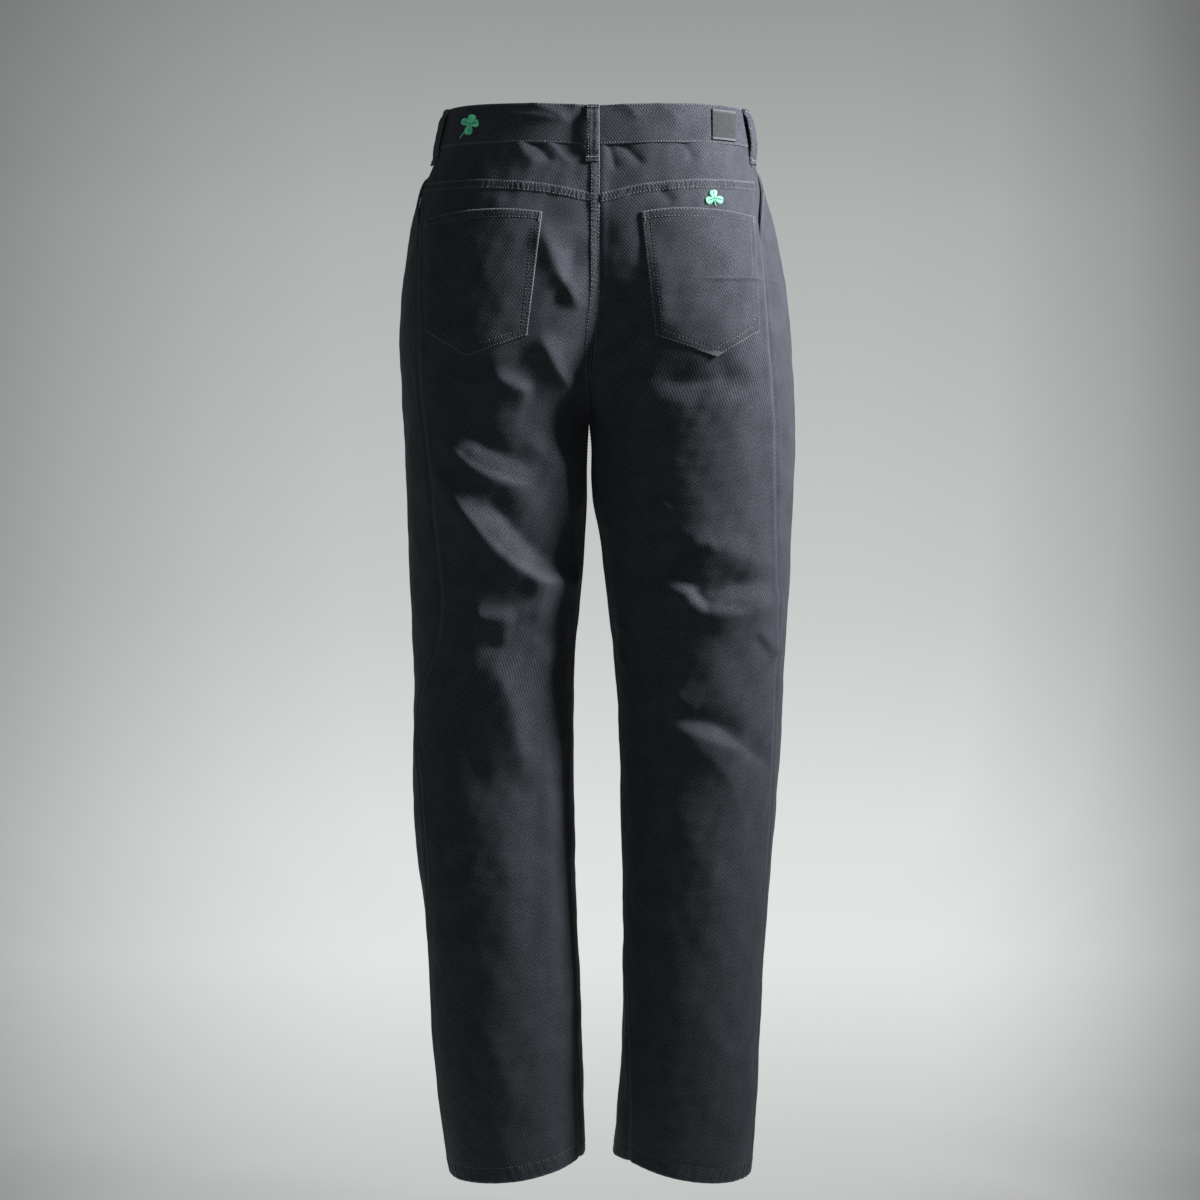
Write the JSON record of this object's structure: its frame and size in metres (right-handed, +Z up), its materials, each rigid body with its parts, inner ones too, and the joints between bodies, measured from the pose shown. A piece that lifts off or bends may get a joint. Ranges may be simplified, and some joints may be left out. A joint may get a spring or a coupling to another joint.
{
  "type": "denim trousers",
  "caption": "Straight-leg denim trousers in a hollow standing form, with waistband, belt loops, yokes, back pockets, front pocket mouths and a waist button.",
  "frame": {"origin": "centre of the waistband ring, about half way up the band", "axes": "+Z up out of the waist, -Z down the legs, front towards -Y, wearer's left towards +X"},
  "size_m": [0.3927, 0.2544, 1.0526],
  "materials": {
    "black_denim": "matte twill",
    "grey_leather": "satin",
    "dark_metal": "satin",
    "dark_thread": "soft sheen",
    "green_thread": "satin stitch sheen",
    "light_green_thread": "satin stitch sheen"
  },
  "bodies": {
    "root": {"front_left": "black_denim", "front_right": "black_denim", "back_left": "black_denim", "back_right": "black_denim", "yoke_left": "black_denim", "yoke_right": "black_denim", "pocket_facing_left": "black_denim", "pocket_facing_right": "black_denim", "back_pocket_left": "black_denim", "back_pocket_right": "black_denim", "waistband": "black_denim", "belt_loop_front_right": "black_denim", "belt_loop_side_right": "black_denim", "belt_loop_back": "black_denim", "belt_loop_side_left": "black_denim", "belt_loop_front_left": "black_denim", "waist_patch": "grey_leather", "waist_button": "dark_metal"}
  },
  "joints": []
}
